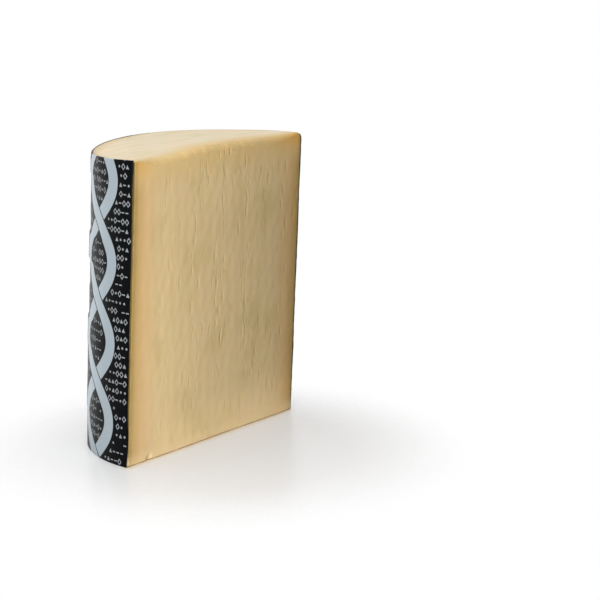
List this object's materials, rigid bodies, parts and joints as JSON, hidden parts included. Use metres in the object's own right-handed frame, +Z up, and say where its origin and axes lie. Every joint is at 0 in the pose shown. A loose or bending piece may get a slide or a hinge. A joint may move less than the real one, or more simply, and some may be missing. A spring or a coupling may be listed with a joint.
{
  "type": "provolone cheese half log",
  "caption": "Half of a log-shaped hard cheese, split lengthwise and standing on its end, with a flat cut face and a black printed film round its curved rind",
  "frame": {"origin": "middle of the base, on the surface that the cheese stands on", "axes": "+Z up along the log, -Y out of the cut face, +Y out of the middle of the rind, +X to the right when the cut face is seen from the front"},
  "size_m": [0.2216, 0.1154, 0.2503],
  "materials": {
    "cheese": "waxy, cream to straw yellow, darker towards the rind",
    "rind_film": "glossy black film with a silver-blue and pale grey print"
  },
  "bodies": {
    "root": {"cheese": "cheese", "rind_film": "rind_film"}
  },
  "joints": []
}
